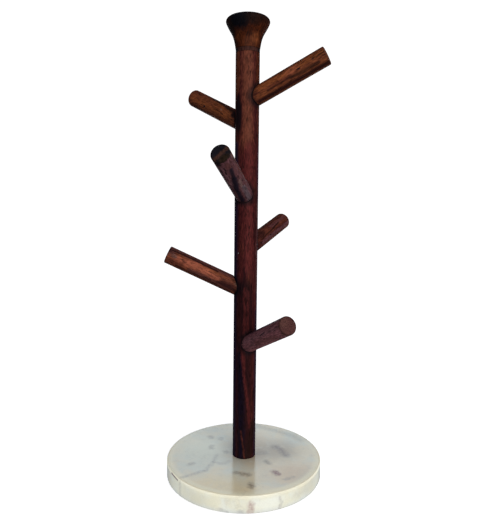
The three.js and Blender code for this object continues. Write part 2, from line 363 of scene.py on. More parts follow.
def tall_post():
    """The post: a faintly rippled dowel with blind bores for the tenons, the dowel, the insert and bolt."""
    low, high = box_mm("post")
    foot, top = low.z, high.z
    narrow = POST_RADIUS - POST_EDGE_EASE
    side_foot = (POST_RADIUS, foot + POST_EDGE_EASE)
    side_top = (POST_RADIUS, top - POST_EDGE_EASE)
    profile = [(0, foot + PILOT_DEPTH), (PILOT_RADIUS, foot + PILOT_DEPTH)]
    profile += [(PILOT_RADIUS, foot + INSERT_BORE_DEPTH), (INSERT_BORE_RADIUS, foot + INSERT_BORE_DEPTH)]
    profile += [(INSERT_BORE_RADIUS, foot), (narrow, foot), side_foot]
    profile += straight(side_foot, side_top, POST_STEPS)
    profile += [side_top, (narrow, top), (DOWEL_BORE_RADIUS, top)]
    profile += [(DOWEL_BORE_RADIUS, top - DOWEL_BORE_DEPTH), (0, top - DOWEL_BORE_DEPTH)]
    verts, faces = revolve(profile, TURNED_SEGMENTS, POST_RIPPLE_SEED)
    post = new_object("post_turned", verts, faces)
    bore_radius, bore_end = TENON_RADIUS + GLUE_GAP, TENON_START - GLUE_GAP
    cutters = []
    for name in PEG_NAMES:
        placing, length = peg_frame(name)
        outside = length / 2
        bore = [(0, bore_end), (bore_radius, bore_end), (bore_radius, outside), (0, outside)]
        cutters.append(new_object("bore_" + name, *revolve(bore, BORE_SEGMENTS), placing))
    cut_away(post, cutters)
    return post


def flared_finial():
    """The finial: trumpet flare, rounded rim, gently domed top, and a blind bore for the dowel."""
    low, high = box_mm("finial")
    foot = low.z
    flare = [(radius, foot + height) for height, radius in smooth_curve(FINIAL_FLARE, steps=6)]
    widest, rim_height = flare[-1]
    crown_edge = (widest - FINIAL_RIM_ACROSS, rim_height)
    rim = arc(crown_edge, FINIAL_RIM_ACROSS, FINIAL_RIM_UP, 0, FINIAL_RIM_TURN, steps=14)[1:]
    blend_edge, blend_height = rim[-1]
    crown_steps = 10
    crown = []
    for step in range(1, crown_steps + 1):
        share = 1 - step / crown_steps
        crown.append((blend_edge * share, blend_height + (high.z - blend_height) * (1 - share ** 2)))
    roof = foot + DOWEL_BORE_DEPTH
    profile = [(0, roof), (DOWEL_BORE_RADIUS, roof), (DOWEL_BORE_RADIUS, foot)] + flare + rim + crown
    verts, faces = revolve(profile, TURNED_SEGMENTS, FINIAL_RIPPLE_SEED)
    return new_object("finial_turned", verts, faces)


def dark_collar():
    """The thin ring between post and finial, flush with the post."""
    low, high = box_mm("joint_collar")
    radius = radius_mm("joint_collar")
    narrow = radius - POST_EDGE_EASE
    profile = [(DOWEL_BORE_RADIUS, low.z), (narrow, low.z), (radius, low.z + POST_EDGE_EASE)]
    profile += [(radius, high.z - POST_EDGE_EASE), (narrow, high.z), (DOWEL_BORE_RADIUS, high.z)]
    verts, faces = revolve(profile, TURNED_SEGMENTS, COLLAR_RIPPLE_SEED)
    return new_object("collar_turned", verts, faces)


def rubber_bumper(node):
    """A moulded bumper: tapered wall, rounded lower edge and a shallow dimple underneath."""
    low, high = box_mm(node)
    centre = (low + high) / 2
    radius = radius_mm(node)
    height = high.z - low.z
    inner, outer = (radius * share for share in PAD_DIMPLE_SHARES)
    profile = [(0, PAD_DIMPLE), (inner, PAD_DIMPLE_EDGE), (outer, 0.0)]
    profile += low_corner(radius - PAD_TAPER, 0.0, PAD_EDGE_EASE, steps=6)
    profile += [(radius, height), (0, height)]
    verts, faces = revolve(profile, PAD_SEGMENTS)
    placing = Matrix.Translation(Vector((mm(centre.x), mm(centre.y), mm(low.z))))
    return new_object(node + "_moulded", verts, faces, placing)


# ---- Materials ----

FRAY = 0.7  # how far fibres push the edge of a mark
# Nearly all of a noise's values lie between these two
NOISE_LOW = 0.3
NOISE_HIGH = 0.7


def grey(value):
    """A grey from 0, black, to 1, white."""
    return (value, value, value)


class Recipe:
    """A material being made. Each method adds steps and returns their result. Any value may be a result."""

    def __init__(self, name):
        self.material = bpy.data.materials.new(name)
        self.material.use_nodes = True
        self.tree = self.material.node_tree
        self.shader = self.tree.nodes["Principled BSDF"]

    def put(self, socket, value):
        """Sets a socket to a value, or links it to another step's result. Tones get their alpha here."""
        if isinstance(value, bpy.types.NodeSocket):
            self.tree.links.new(value, socket)
        elif socket.type == "RGBA":
            socket.default_value = (*value, 1.0)
        else:
            socket.default_value = value

    def step(self, kind, inputs=(), **settings):
        """Adds a shader node with its inputs, given by name or by number, and its settings."""
        node = self.tree.nodes.new("ShaderNode" + kind)
        for key, value in settings.items():
            setattr(node, key, value)
        for key, value in dict(inputs).items():
            self.put(node.inputs[key], value)
        return node

    def math(self, operation, first, second=0.0):
        """Arithmetic on one or two numbers."""
        return self.step("Math", {0: first, 1: second}, operation=operation).outputs[0]

    def times(self, first, second):
        """Two numbers multiplied."""
        return self.math("MULTIPLY", first, second)

    def vector(self, operation, first, second=(0, 0, 0)):
        """Arithmetic on one or two vectors. Lengths and dot products are numbers."""
        node = self.step("VectorMath", {0: first, 1: second}, operation=operation)
        return node.outputs["Value" if operation in ("LENGTH", "DOT_PRODUCT") else "Vector"]

    def place(self):
        """The place on the object in millimetres."""
        own = self.step("TexCoord").outputs["Object"]
        return self.vector("MULTIPLY", own, (MM_PER_METRE,) * 3)

    def place_in(self, placing):
        """The place in millimetres in the frame of one piece."""
        away = self.vector("SUBTRACT", self.place(), tuple(placing.translation * MM_PER_METRE))
        axes = placing.to_3x3().transposed()
        shares = {i: self.vector("DOT_PRODUCT", away, tuple(axes[i])) for i in range(3)}
        return self.step("CombineXYZ", shares).outputs[0]

    def from_axis(self, place):
        """Distance from the piece's Z."""
        return self.vector("LENGTH", self.vector("MULTIPLY", place, (1, 1, 0)))

    def height(self, place):
        """Height along the piece's Z."""
        return self.vector("DOT_PRODUCT", place, (0, 0, 1))

    def noise(self, place, across, along=None, detail=2.0, roughness=0.5, colour=False):
        """Noise whose features are this many millimetres across, and along the piece's Z."""
        scaled = self.vector("DIVIDE", place, (across, across, along or across))
        inputs = {"Vector": scaled, "Scale": 1.0, "Detail": detail, "Roughness": roughness}
        node = self.step("TexNoise", inputs)
        return node.outputs["Color" if colour else 0]

    def noise_along(self, value, size, detail, roughness):
        """Noise along one number, such as a distance."""
        along = self.math("DIVIDE", value, size)
        inputs = {"W": along, "Scale": 1.0, "Detail": detail, "Roughness": roughness}
        return self.step("TexNoise", inputs, noise_dimensions="1D").outputs[0]

    def ease(self, value, low, high, to_low=0.0, to_high=1.0):
        """A smooth step of value from low to high, as to_low to to_high."""
        inputs = {0: value, 1: low, 2: high, 3: to_low, 4: to_high}
        return self.step("MapRange", inputs, interpolation_type="SMOOTHSTEP").outputs[0]

    def spread(self, value, to_low=0.0, to_high=1.0):
        """The usual range of a noise's values as to_low to to_high."""
        return self.ease(value, NOISE_LOW, NOISE_HIGH, to_low, to_high)

    def mix(self, share, first, second, mode="MIX"):
        """A mix of two colours."""
        inputs = {0: share, 6: first, 7: second}
        return self.step("Mix", inputs, data_type="RGBA", blend_type=mode).outputs[2]

    def shade(self, colour, factor):
        """A colour made darker or lighter by a factor."""
        every = self.step("CombineXYZ", {0: factor, 1: factor, 2: factor}).outputs[0]
        return self.mix(1.0, colour, every, "MULTIPLY")

    def wander(self, place, across, along, distance):
        """Moves a place by a soft noise, so that straight features wander."""
        drift = self.vector("SUBTRACT", self.noise(place, across, along, colour=True), (0.5, 0.5, 0.5))
        return self.vector("ADD", place, self.vector("MULTIPLY", drift, distance))

    def blob(self, place, centre, radii, edge=0.75):
        """A soft blob, 1 at its centre and 0 outside its radii in x, y and z."""
        share = self.vector("DIVIDE", self.vector("SUBTRACT", place, centre), radii)
        return self.ease(self.vector("LENGTH", share), 1.0, 1.0 - edge)

    def streak(self, place, points, width):
        """A soft line through points, 1 along its middle and 0 beyond its width."""
        nearest = None
        for start, end in zip(points, points[1:]):
            start, run = Vector(start), Vector(end) - Vector(start)
            away = self.vector("SUBTRACT", place, tuple(start))
            along = self.math("DIVIDE", self.vector("DOT_PRODUCT", away, tuple(run)), run.length_squared)
            share = self.math("MINIMUM", self.math("MAXIMUM", along, 0.0), 1.0)
            scaled = self.step("VectorMath", {0: tuple(run), "Scale": share}, operation="SCALE")
            foot = scaled.outputs["Vector"]
            distance = self.vector("LENGTH", self.vector("SUBTRACT", away, foot))
            nearest = distance if nearest is None else self.math("MINIMUM", nearest, distance)
        return self.ease(nearest, width, 0.0)

    def ring(self, place, radius, height, width):
        """A soft ring about the piece's Z."""
        across = self.math("SUBTRACT", self.from_axis(place), radius)
        up = self.math("SUBTRACT", self.height(place), height)
        both = self.step("CombineXYZ", {0: across, 1: up}).outputs[0]
        return self.ease(self.vector("LENGTH", both), width, 0.0)

    def zones(self, colour, zones, place):
        """Mixes in soft zones: centre, radii, tone and strength."""
        for centre, radii, tone, strength in zones:
            share = self.times(self.blob(place, centre, radii, edge=0.9), strength)
            colour = self.mix(share, colour, tone)
        return colour

    def paint(self, colour, marks, place, fibres):
        """Paints marks one over another. Their edges fray along the fibres."""
        fray = self.times(self.math("SUBTRACT", fibres, 0.5), FRAY)
        for shape, size, tone, strength in marks:
            feature = self.streak if isinstance(shape, list) else self.blob
            soft = feature(place, shape, size)
            frayed = self.ease(self.math("ADD", soft, fray), 0.1, 0.95)
            inside = self.math("MINIMUM", frayed, self.ease(soft, 0.0, 0.1))
            colour = self.mix(self.times(inside, strength), colour, tone)
        return colour

    def surface(self, colour, roughness, height=None, bump=0.0, **sockets):
        """Joins the results to the shader. A height of 1 stands for a bump of this many millimetres."""
        self.put(self.shader.inputs["Base Color"], colour)
        self.put(self.shader.inputs["Roughness"], roughness)
        if height is not None:
            inputs = {"Height": height, "Strength": 1.0, "Distance": mm(bump)}
            self.put(self.shader.inputs["Normal"], self.step("Bump", inputs).outputs["Normal"])
        for key, value in sockets.items():
            self.shader.inputs[key.replace("_", " ")].default_value = value
        return self.material


# Stained wood tones. Colours are linear, so they look lighter than their numbers.
BLACK = (0.003, 0.003, 0.005)
BLACK_BROWN = (0.010, 0.005, 0.004)
PLUM_BLACK = (0.005, 0.003, 0.009)
# The next two tones are painted shade: on the post's right edge, and along peg_6's upper side.
EDGE_SHADE_PLUM = (0.048, 0.014, 0.029)
SHADE_PLUM_DARK = (0.020, 0.010, 0.025)
OLIVE_BLACK = (0.022, 0.013, 0.007)
RED_BLACK = (0.016, 0.004, 0.005)
DEEP_RED = (0.048, 0.008, 0.009)
MAHOGANY = (0.090, 0.015, 0.014)
RED_BROWN = (0.090, 0.022, 0.013)
RUSSET = (0.130, 0.037, 0.021)
WARM_BROWN = (0.135, 0.038, 0.016)
ORANGE_BROWN = (0.210, 0.060, 0.020)
ORANGE = (0.320, 0.090, 0.050)
MAUVE = (0.120, 0.048, 0.054)
# A painted sheen, on peg_3 and peg_6
MAUVE_SHEEN = (0.190, 0.085, 0.095)
GREY_TAN = (0.160, 0.094, 0.086)
ASH_MAUVE = (0.115, 0.080, 0.092)
TAN = (0.190, 0.100, 0.070)
NAVY = (0.010, 0.008, 0.016)
INK = (0.0085, 0.0080, 0.0115)
DARK_ROSE = (0.085, 0.030, 0.027)
END_BROWN = (0.074, 0.028, 0.025)
BAND_BROWN = (0.056, 0.025, 0.018)
FOXY_BROWN = (0.088, 0.021, 0.006)
# Painted shade on the post's left edge
EDGE_SHADE_NAVY = (0.008, 0.007, 0.026)
UMBER = (0.044, 0.009, 0.003)
ROSEWOOD = (0.215, 0.080, 0.090)
COLLAR_BROWN = (0.048, 0.017, 0.013)

# A mark is its shape, size, tone and strength. Its shape is one point for a blob, whose size is its radii, or
# a list of points for a streak, whose size is its width.
POST_MARKS = [
    ([(0, -12, 400), (1, -12, 318)], 10.5, RUSSET, 0.9),
    ([(0, 12, 398), (1, 12, 300)], 9, WARM_BROWN, 0.5),
    ([(2.5, -12, 316), (3, -12, 205)], 9, MAHOGANY, 0.85),
    ([(-10, -6, 398), (-10, -6, 366)], 7.5, WARM_BROWN, 0.75),
    ([(10, -6, 398), (10, -6, 370)], 6.5, FOXY_BROWN, 0.6),
    # Painted shade: dark streaks down the post's left and right edges.
    ([(-11, -5, 316), (-11, -5, 16)], 8, EDGE_SHADE_NAVY, 0.85),
    ([(11, -3, 315), (11, -3, 160)], 5.5, EDGE_SHADE_PLUM, 0.8),
    ([(11, -4, 160), (11, -4, 16)], 6.5, SHADE_PLUM_DARK, 0.88),
    ([(10.5, -4, 366), (10.5, -4, 330)], 5, RUSSET, 0.6),
    ([(10.5, -4, 262), (10.5, -4, 182)], 4.5, DARK_ROSE, 0.8),
    # Painted shadow: black on the post's left side, beside a peg's root.
    ((-8.5, -8, 343), (6, 8, 28), BLACK, 0.9),
    ([(-1, -12, 185), (-1, -12, 16)], 16, RED_BLACK, 0.9),
    ([(-5, -12, 120), (-3, -12, 16)], 8, PLUM_BLACK, 0.95),
    ([(-0.6, -11, 184), (-0.8, -11, 108)], 3, MAHOGANY, 0.5),
    ([(2.8, -11, 182), (2.4, -11, 130)], 2.4, MAHOGANY, 0.5),
    ([(-4, -10.4, 135), (1, -11, 87), (4.2, -10.3, 66), (5, -9.9, 50)], 3, MAHOGANY, 0.65),
    ([(9, -8, 52), (4, -11, 16)], 8, BLACK_BROWN, 0.7),
    ([(-3.2, -10.6, 46), (-2, -11, 37), (1, -11.1, 16)], 1.9, RED_BROWN, 0.6),
    ((-7.3, -8.4, 218.3), (0.8, 0.8, 0.8), grey(0.3), 0.9),
    ((-8.2, -7.5, 211.7), (0.7, 0.7, 0.7), grey(0.2), 0.9),
]
FINIAL_MARKS = [
    ((2, -12, 406), (12, 14, 9), WARM_BROWN, 0.35),
    ([(-16, -10, 430), (0, -19, 430), (16, -10, 430)], 9, BLACK_BROWN, 0.95),
    ((-7.5, -14.8, 424.6), (18.5, 16.5, 13), BLACK, 1),
    ((-16, -4, 419), (9, 14, 16), BLACK_BROWN, 0.85),
    ((6, -16, 425.5), (15, 12, 9.5), BLACK_BROWN, 0.75),
    ((6.5, -10.5, 411), (6, 6, 8), ORANGE_BROWN, 0.4),
]
COLLAR_SIDE_SHADE = [
    # Painted shade: black on the collar's left and right sides.
    ((-11, -3, 401), (5, 8, 6), BLACK, 0.95),
    ((11, -3, 401), (5, 8, 6), BLACK, 0.95),
]
PEG_MARKS = {
    "peg_1": [
        ([(-8.2, 2, 78), (-8.2, 2, 18)], 5.2, ORANGE_BROWN, 0.85),
        ((-8, 2, 50), (5, 5, 12), ORANGE, 0.35),
        ([(-4.8, -7.2, 12), (-4.2, -7.4, 81)], 4, RED_BLACK, 0.85),
        ([(-7.7, -3.4, 24), (-7.6, -3.4, 44)], 1.6, RED_BLACK, 0.7),
        ([(-7.8, -3.2, 46), (-7.2, -4.4, 60), (-7.4, -4, 74)], 2.6, BLACK_BROWN, 0.7),
        ((-8.4, -0.3, 56), (1.5, 1.1, 2.6), NAVY, 0.95),
        ((-8.4, 0.6, 70), (1.3, 1, 2.4), NAVY, 0.9),
        ([(-8, 2.6, 60), (-7.6, 3.4, 80)], 0.9, RED_BLACK, 0.7),
        ([(-8.4, 0.2, 74), (-8.2, 1.4, 81)], 1.2, BLACK_BROWN, 0.7),
    ],
    "peg_2": [
        ([(8.2, 0, 76), (8.2, 0, 20)], 4.5, ORANGE_BROWN, 0.75),
        ([(1.8, 8.2, 52), (4, 7.4, 30), (6, 6, 12)], 3.4, BLACK_BROWN, 0.85),
        # Painted shadow at the peg's root.
        ((6, 5, 13), (7, 8, 6), BLACK, 0.9),
        ((8.3, -0.9, 55), (1.6, 1.3, 2.2), NAVY, 0.95),
        ((7.5, 3.5, 31), (1.6, 1.3, 2.8), TAN, 0.9),
        ([(8, 1.6, 40), (8.2, 0.5, 27)], 1, RED_BLACK, 0.8),
    ],
    "peg_3": [
        ([(-5.5, -6.5, 60), (-5, -6.5, 14)], 3.4, MAUVE, 0.7),
        # Painted reflection: a pale mauve sheen along the peg's underside.
        ([(-0.5, -8.4, 70), (-0.5, -8.4, 44)], 3.6, MAUVE_SHEEN, 0.85),
        ((5, -6.7, 72), (4, 4, 8), DARK_ROSE, 0.7),
        ([(8.2, -2.5, 78), (8, -2.8, 36)], 3.5, MAUVE, 0.9),
        ([(5.4, -6.4, 66), (4.2, -7.2, 52)], 4, NAVY, 0.9),
        ([(4.2, -7.2, 52), (1.6, -8.2, 34), (1, -8.3, 12)], 5, NAVY, 0.95),
        ([(6.6, -5, 46), (6.4, -5.2, 34)], 2.8, GREY_TAN, 0.9),
        ([(7.2, -4.4, 32), (6.6, -5, 10)], 4.8, ASH_MAUVE, 0.9),
        ((0, 0, 82.5), (30, 30, 5), INK, 1),
        ((6, -6, 82.5), (12, 9, 5), OLIVE_BLACK, 0.95),
        ((-2.2, -8.1, 79), (4.5, 3, 7), BLACK, 0.9),
        ([(-6, -8, 82), (7, 6, 82)], 3.4, BAND_BROWN, 1),
    ],
    "peg_4": [
        # Painted sheen: the two mauve streaks along the peg.
        ([(-8.3, -0.5, 80), (-8.3, -0.5, 20)], 4, MAUVE, 0.8),
        ([(-5, 6.7, 80), (-5, 6.7, 45)], 3.5, MAUVE, 0.5),
        ([(-7.9, 2.9, 24), (-6, 5.6, 60)], 1.4, BLACK_BROWN, 0.8),
        ((-5, 6, 22), (6, 6, 16), RED_BLACK, 0.7),
    ],
    "peg_5": [
        ([(8.2, 1, 70), (8.2, 0, 30)], 5.5, ORANGE, 0.65),
        ((7.7, 3, 50), (5, 5, 24), ORANGE, 0.6),
        ((7, 5, 80), (5, 5, 8), DARK_ROSE, 0.8),
        ([(4.2, 7.2, 78), (4.2, 7.2, 18)], 4.4, DARK_ROSE, 0.85),
        ([(6.4, 5.6, 81), (5.2, 6.6, 67), (5.2, 6.6, 50), (6, 5.9, 32)], 1.8, RED_BLACK, 0.85),
        ((8, 2.4, 75), (3, 3, 5), GREY_TAN, 0.35),
        ([(7.4, -4, 56), (7.6, -3.4, 14)], 4.6, DARK_ROSE, 0.7),
        ((8.2, -0.5, 19), (3.4, 3.4, 12), RED_BLACK, 0.6),
        ([(8.2, -2.5, 28), (7.8, -3, 10)], 3.4, RED_BLACK, 0.8),
        ((8.2, 2.6, 10), (3, 3, 4), TAN, 0.8),
        # Painted shadow under the peg's root.
        ((6.5, -5, 6), (5, 4, 6), BLACK, 0.9),
        ([(6.4, -5.8, 70), (6, -6.2, 14)], 2.4, RED_BLACK, 0.7),
    ],
    "peg_6": [
        # Painted sheen: the pale mauve streak. Painted shade: the dark streak along the upper side.
        ([(-8.2, 1, 74), (-8.2, 1, 12)], 4.5, MAUVE_SHEEN, 0.45),
        ([(-3.8, 7.5, 76), (-3.8, 7.5, 8)], 5, SHADE_PLUM_DARK, 0.75),
        ([(-6, -5.8, 70), (-7, -4.6, 34)], 4, DARK_ROSE, 0.6),
        ([(-8.4, 0.2, 46), (-8.4, 1, 56)], 0.9, NAVY, 0.9),
        ((0, 0, 82.5), (30, 30, 5), END_BROWN, 0.95),
        ((-3.5, 3.5, 82), (7, 9, 4), TAN, 0.12),
        ([(5, 6.5, 82), (8.4, 1, 82)], 3, DEEP_RED, 0.5),
    ],
}

PEG_TONES = {
    "peg_1": (RED_BROWN, WARM_BROWN, ORANGE_BROWN),
    "peg_2": (RED_BROWN, WARM_BROWN, ORANGE_BROWN),
    "peg_3": (RED_BROWN, MAUVE, MAUVE),
    "peg_4": (DEEP_RED, RED_BROWN, RUSSET),
    "peg_5": (RED_BROWN, RUSSET, ORANGE_BROWN),
    "peg_6": (MAUVE, ROSEWOOD, ROSEWOOD),
}

WOOD_GLOSS = 0.04
BOARD_STEP = (37.0, 53.0, 211.0)  # from one seed's board to the next
PITH = (40.0, 24.0)  # the heart of the trunk, beside the piece
PORE_DARKNESS = 0.85
DASH_DARKNESS = 0.6
# How far painted shade, and glue on a peg and on the post, show beyond a joint
SHADE_REACH = 5.0
GLUE_REACH = 1.1
SOCKET_REACH = 0.9


def wood_figure(r, seeded, fine, fibres, board):
    """Growth bands about the pith, with some of the fibres and soft clouds in them."""
    pith = (board * BOARD_STEP[0] + PITH[0], board * BOARD_STEP[1] + PITH[1], 0.0)
    from_pith = r.from_axis(r.vector("SUBTRACT", fine, pith))
    bands = r.noise_along(from_pith, size=2.4, detail=3.0, roughness=0.6)
    clouds = r.noise(seeded, across=7.0, along=30.0, detail=3.0, roughness=0.55)
    figure = r.math("ADD", r.times(bands, 0.7), r.times(fibres, 0.3))
    return r.math("ADD", figure, r.times(clouds, 0.6))


def wood_pores(r, seeded, fine):
    """Open pores, and longer dark dashes, both in fields."""
    fields = r.ease(r.noise(seeded, across=5.0, along=22.0), 0.36, 0.6, 0.3, 1.0)
    pores = r.ease(r.noise(fine, across=0.6, along=5.5), 0.57, 0.66)
    dashes = r.ease(r.noise(fine, across=1.5, along=7.0), 0.58, 0.66)
    return r.times(pores, fields), r.times(dashes, fields)


def wood(name, placing, board, tones, marks, more=None):
    """Stained, oiled hardwood: growth bands, fibres, dark pores, and marks in the piece's own millimetres,
    some of them painted shade, shadow and sheen.
    `board` is the seed of its grain. `more` adds what one piece needs beyond that: it takes the recipe, the
    colour and the place."""
    r = Recipe(name)
    place = r.place_in(placing)
    seeded = r.vector("ADD", place, tuple(board * step for step in BOARD_STEP))
    drifting = r.wander(seeded, across=18.0, along=60.0, distance=(5.0, 5.0, 0.0))
    fine = r.wander(drifting, across=4.0, along=18.0, distance=(0.9, 0.9, 0.0))
    fibres = r.noise(fine, across=0.6, along=9.0, detail=3.0, roughness=0.6)
    grain = r.noise(fine, across=1.1, along=4.5, detail=3.0, roughness=0.65)
    figure = wood_figure(r, seeded, fine, fibres, board)
    dark, middle, light = tones
    colour = r.mix(r.ease(figure, 0.58, 0.82), dark, middle)
    colour = r.mix(r.ease(figure, 0.76, 1.04), colour, light)
    ragged = r.wander(place, across=3.5, along=12.0, distance=(2.2, 2.2, 5.0))
    colour = r.paint(colour, marks, ragged, grain)
    if more:
        colour = more(r, colour, place)
    pores, dashes = wood_pores(r, seeded, fine)
    colour = r.mix(r.times(pores, PORE_DARKNESS), colour, BLACK_BROWN)
    colour = r.shade(colour, r.math("SUBTRACT", 1.0, r.times(dashes, DASH_DARKNESS)))
    colour = r.shade(colour, r.spread(grain, 0.66, 1.4))
    colour = r.shade(colour, r.spread(fibres, 0.85, 1.15))
    rough = r.spread(r.noise(seeded, across=5.0, along=18.0, detail=3.0), 0.5, 0.68)
    rough = r.math("ADD", rough, r.times(pores, 0.2))
    height = r.math("SUBTRACT", r.times(fibres, 0.4), pores)
    return r.surface(colour, rough, height, bump=0.06, Specular_IOR_Level=WOOD_GLOSS)


def peg_glue_shade_and_rim(r, colour, place):
    """Painted shade and dark glue round the root of a peg, and a darker rim round its end."""
    from_post = r.from_axis(r.place())
    edge = POST_RADIUS + GLUE_GAP
    # Painted shade on the peg near its root, then the glue line.
    colour = r.mix(r.ease(from_post, edge + SHADE_REACH, edge, 0.0, 0.45), colour, RED_BLACK)
    colour = r.mix(r.ease(from_post, edge + GLUE_REACH, edge + 0.2, 0.0, 0.9), colour, BLACK)
    tip = r.ring(place, PEG_RADIUS, PEG_LENGTH, width=1.6)
    return r.mix(r.times(tip, 0.5), colour, BLACK_BROWN)


def socket_glue_and_shade(r, colour, place):
    """Dark glue and painted shade on the post round each peg: a soft halo of painted shade and a sharp line
    of glue.
    """
    for name in PEG_NAMES:
        placing, _ = peg_frame(name)
        away = r.vector("SUBTRACT", place, tuple(placing.translation * MM_PER_METRE))
        along = r.vector("DOT_PRODUCT", away, tuple(placing.to_3x3().col[2]))
        squared = r.math("SUBTRACT", r.vector("DOT_PRODUCT", away, away), r.times(along, along))
        beside = r.math("SQRT", r.math("MAXIMUM", squared, 0.0))
        # The halo is painted shade, the line is glue.
        halo = r.ease(beside, PEG_RADIUS + SHADE_REACH, PEG_RADIUS, 0.0, 0.75)
        line = r.ease(beside, PEG_RADIUS + SOCKET_REACH, PEG_RADIUS + 0.1, 0.0, 0.9)
        outwards = r.ease(along, 0.0, 6.0)
        colour = r.mix(r.times(r.math("MAXIMUM", halo, line), outwards), colour, BLACK)
    return colour


# Stone tones
MARBLE_COOL = (0.70, 0.725, 0.64)
MARBLE_WARM = (0.82, 0.74, 0.56)
# The next two are painted light and painted shade on the side.
SIDE_PAINTED_LIGHT = (0.97, 0.98, 0.86)
SIDE_PAINTED_SHADE = (0.62, 0.61, 0.49)
SIDE_CREAM = (0.86, 0.865, 0.71)
SIDE_COOL = (0.87, 0.93, 0.87)
# The next two are a painted highlight for the top's rim and painted shade for the foot.
RIM_HIGHLIGHT_CREAM = (0.95, 0.87, 0.62)
FOOT_SHADE_GREY = (0.60, 0.65, 0.68)
MARBLE_WHITE = (0.84, 0.80, 0.67)
MARBLE_GREY = (0.52, 0.50, 0.42)
SPOT_PURPLE = (0.13, 0.075, 0.095)
SPOT_DARK = (0.20, 0.055, 0.055)
SPOT_BROWN = (0.19, 0.14, 0.11)
SPOT_PINK = (0.5, 0.36, 0.33)
VEIN_GREY = (0.25, 0.225, 0.23)
ZONE_GREY = (0.42, 0.306, 0.188)
ZONE_COOL = (0.80, 0.81, 0.66)
ZONE_PINK = (0.64, 0.450, 0.29)
ZONE_CREAM = (0.90, 0.70, 0.36)
# Soft zones: centre, radii, tone and strength, in the base's millimetres
MARBLE_ZONES = [
    ((-42, 12, 16), (42, 52, 20), ZONE_COOL, 0.8),
    ((6, 8, 16), (40, 50, 16), ZONE_GREY, 0.85),
    ((38, 8, 16), (28, 34, 16), ZONE_GREY, 0.7),
    ((46, -38, 10), (42, 34, 24), ZONE_PINK, 0.75),
    ((-24, -60, 10), (56, 34, 24), ZONE_CREAM, 0.8),
    ((20, -72, 6), (50, 20, 20), ZONE_CREAM, 0.8),
]
# Painted light and shade on the side: a brighter zone at the front right, where the key falls, and duller
# zones on both flanks
SIDE_LIGHT_AND_SHADE = [
    ((-42, -61, 8), (26, 24, 14), SIDE_PAINTED_SHADE, 0.5),
    ((58, -48, 12), (22, 24, 14), SIDE_PAINTED_SHADE, 0.6),
    ((20, -72, 9), (24, 20, 14), SIDE_PAINTED_LIGHT, 0.8),
]
# Smudges and veins: points, width, tone and strength. Those on the top lie just under its surface.
TOP_MARK_HEIGHT = 17
TOP_LINES = [
    ([(31.5, 16), (36.5, 10.7), (41.5, -2.5)], 6.8, SPOT_PURPLE, 0.6),
    ([(12.7, 1.6), (21, 2.3)], 6.5, SPOT_PURPLE, 0.35),
    ([(21.4, -14.3), (23.6, -18.8)], 5.2, SPOT_BROWN, 0.65),
    ([(27.5, -33), (30.5, -38)], 5.6, SPOT_DARK, 0.6),
    ([(29.8, -34.5), (30.8, -38)], 4.6, SPOT_DARK, 0.85),
    ([(-7, -35.9), (4.3, -39.7)], 5.5, SPOT_BROWN, 0.6),
    ([(6.4, -55.5), (7, -60.5)], 4.8, SPOT_BROWN, 0.75),
    ([(-35.5, 38.5), (-34.5, 36)], 5.5, SPOT_PURPLE, 0.4),
    ([(-33, 17), (-32.7, 12)], 5, SPOT_PURPLE, 0.5),
    ([(-18.5, 5.5), (-17.5, 3)], 4.4, SPOT_PURPLE, 0.5),
    ([(-24.5, 35), (-24.5, 32)], 4.5, SPOT_PURPLE, 0.35),
    ([(-51, -21), (-48.5, -19)], 5, SPOT_PURPLE, 0.42),
    ([(14.1, 66.5), (35.7, 53.8), (52.7, 41.7), (58.9, 31.7)], 8, SPOT_BROWN, 0.3),
    ([(-55.6, -45.3), (-44.4, -37.8), (-35.7, -33.2)], 4, VEIN_GREY, 0.42),
    ([(-35.7, -33.2), (-29.1, -16), (-26.7, -2.5)], 3.8, VEIN_GREY, 0.38),
    ([(-29.1, -16), (-19.4, -20.7), (-13.2, -14)], 3.8, VEIN_GREY, 0.32),
    ([(37.1, -47.1), (45.5, -43)], 3.6, VEIN_GREY, 0.5),
]
SIDE_LINES = [
    ([(6.3, -75, 10), (6.3, -75, 4)], 5, SPOT_PINK, 0.85),
    ([(31.3, -68.1, 13), (32.6, -67.5, 8), (31, -68.3, 3)], 2.4, VEIN_GREY, 0.35),
    ([(-56.7, -49.1, 16), (-56.7, -49.1, 2)], 3, VEIN_GREY, 0.3),
    ([(-20, -72.3, 4), (-14, -73.7, 2.5)], 3, VEIN_GREY, 0.35),
    ([(-4, -75, 4), (0, -75, 2)], 3, VEIN_GREY, 0.35),
]
MARBLE_GLOSS = 0.6
CRACK_WIDTH = 1.3
# A healed crack over the edge at the left
MARBLE_CRACK = [(-66.0, -35.6, 16.2), (-62.6, -41.3, 15.9), (-59.3, -45.9, 15.4)]


def marble_ground(r, place, drift):
    """Cool and warm clouds, a creamier side, mottling over both, and painted light and shade on the side."""
    clouds = r.noise(drift, across=34.0, detail=4.0, roughness=0.55)
    colour = r.mix(r.ease(clouds, 0.38, 0.64), MARBLE_COOL, MARBLE_WARM)
    colour = r.zones(colour, MARBLE_ZONES, drift)
    on_side = r.ease(r.from_axis(place), BASE_RADIUS - 1.2, BASE_RADIUS - 0.2)
    side_clouds = r.noise(drift, across=14.0, along=20.0, detail=3.0)
    side_tone = r.mix(r.ease(side_clouds, 0.35, 0.65), SIDE_CREAM, SIDE_COOL)
    colour = r.mix(r.times(on_side, 0.75), colour, side_tone)
    mottle = r.noise(place, across=9.0, detail=5.0, roughness=0.6)
    colour = r.mix(r.ease(mottle, 0.5, 0.78, 0.0, 0.3), colour, MARBLE_GREY)
    colour = r.mix(r.ease(mottle, 0.5, 0.25, 0.0, 0.3), colour, MARBLE_WHITE)
    # Painted light and shade on the side
    return r.zones(colour, SIDE_LIGHT_AND_SHADE, drift)


